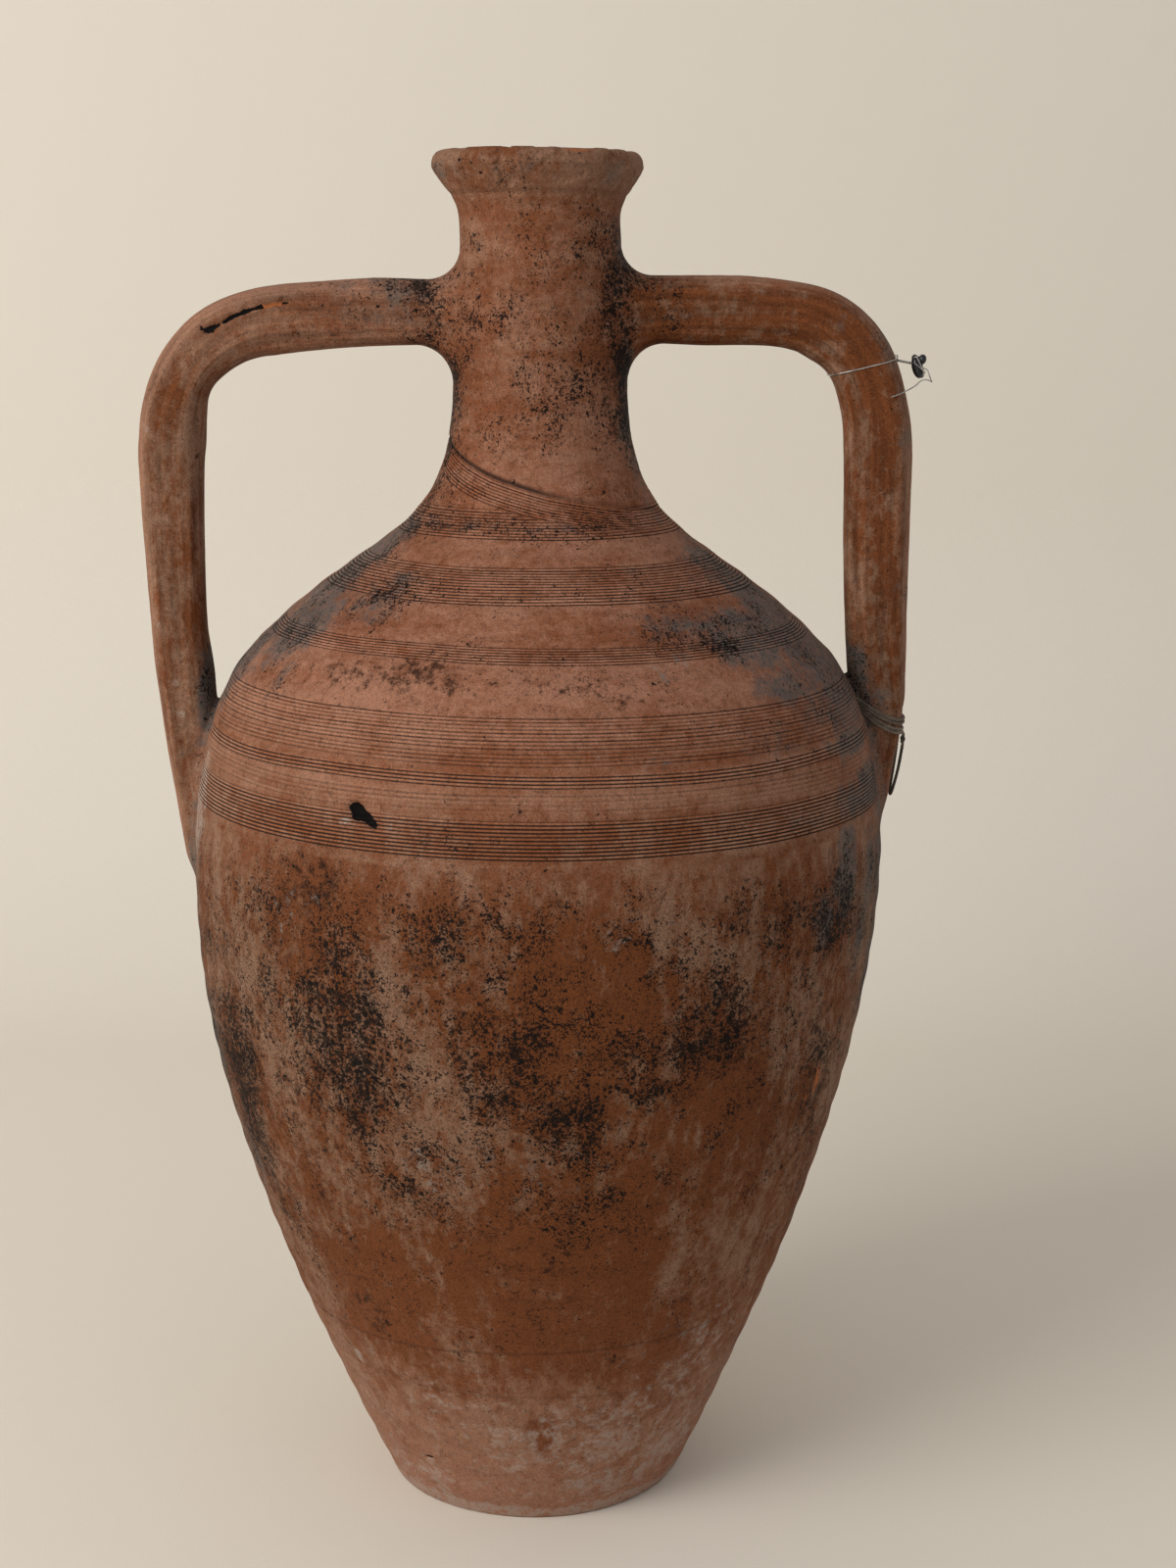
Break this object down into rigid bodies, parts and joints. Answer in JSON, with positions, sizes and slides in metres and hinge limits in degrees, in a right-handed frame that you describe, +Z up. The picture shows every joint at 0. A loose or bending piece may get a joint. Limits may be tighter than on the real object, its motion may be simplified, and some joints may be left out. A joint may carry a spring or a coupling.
{
  "type": "amphora jar",
  "caption": "Tall amphora storage jar of unglazed clay with a swelling combed belly, a narrow neck, a flared lip and upright loop handles, for wine, oil or grain.",
  "frame": {"origin": "centre of the flat underside of the foot, on the standing surface", "axes": "+Z up along the axis the jar was turned on; +X towards the handle with the twine and the wire; -Y the front of the jar"},
  "size_m": [0.4035, 0.3598, 0.7],
  "materials": {
    "clay": "unglazed, matt, smoke-stained earthenware",
    "twine": "twisted, weathered plant-fibre twine",
    "wire": "thin galvanised sealing wire",
    "seal_plastic": "glossy black, crimped and folded"
  },
  "bodies": {
    "jar": {"base_disc": "clay", "lower_wall": "clay", "belly_wall": "clay", "shoulder_wall": "clay", "neck_wall": "clay", "lip_ring": "clay", "handle_left": "clay", "handle_right": "clay", "neck_luting_left": "clay", "neck_luting_right": "clay", "twine_lashing": "twine", "twine_knot": "twine", "twine_loop": "twine", "wire_ring": "wire", "wire_tail": "wire"},
    "seal": {"seal": "seal_plastic"}
  },
  "joints": [
    {"name": "seal_turn", "type": "hinge", "parent": "jar", "child": "seal", "pos_m": [0.19229, 0, 0.59688], "axis": [0.9135, 0, -0.4067], "range_deg": [-40, 40]}
  ]
}
